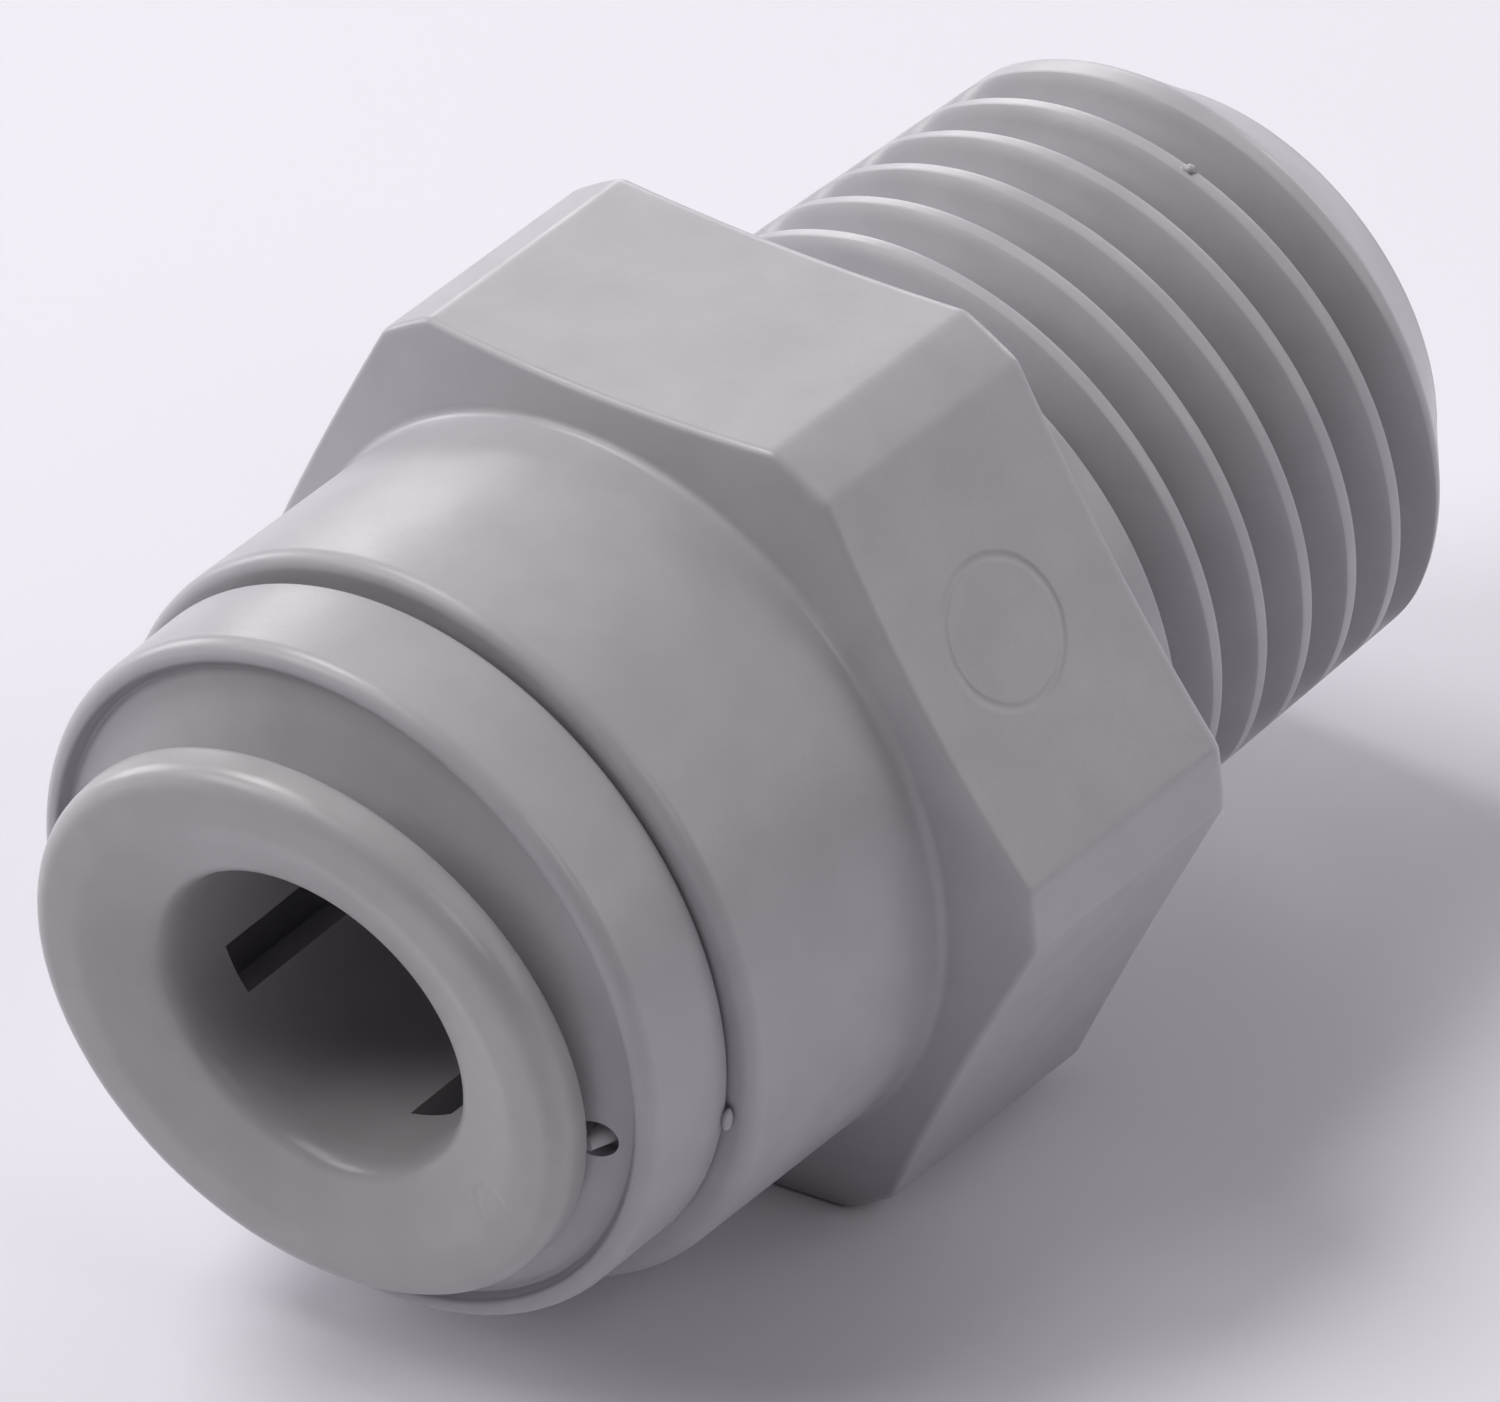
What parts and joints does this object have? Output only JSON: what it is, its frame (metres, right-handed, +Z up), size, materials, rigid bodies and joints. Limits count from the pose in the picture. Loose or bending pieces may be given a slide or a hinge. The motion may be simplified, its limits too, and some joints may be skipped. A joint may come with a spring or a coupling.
{
  "type": "push-fit male adapter",
  "caption": "Moulded push-fit tube fitting: sliding release collet in a retaining cap, barrel and hexagon body, male taper pipe thread.",
  "frame": {"origin": "under the middle of the fitting, on the surface that the lowest flat of the hexagon rests on", "axes": "+Y along the axis from the collet to the end of the thread, +Z up through the top flat of the hexagon, +X to the right seen from the collet"},
  "size_m": [0.0188, 0.0276, 0.017],
  "materials": {
    "body_acetal": "satin moulded acetal, light grey",
    "cap_acetal": "satin moulded acetal, light grey",
    "collet_acetal": "smooth moulded acetal, light grey",
    "tooth_steel": "bright stainless strip",
    "seal_rubber": "smooth moulded rubber"
  },
  "bodies": {
    "fitting": {"body": "body_acetal", "end_cap": "cap_acetal", "o_ring": "seal_rubber"},
    "release": {"collet": "collet_acetal", "tooth_1": "tooth_steel", "tooth_2": "tooth_steel", "tooth_3": "tooth_steel", "tooth_4": "tooth_steel"}
  },
  "joints": [
    {"name": "collet_slide", "type": "slide", "parent": "fitting", "child": "release", "axis": [0, -1, 0], "range_m": [0, 0.0012]}
  ]
}
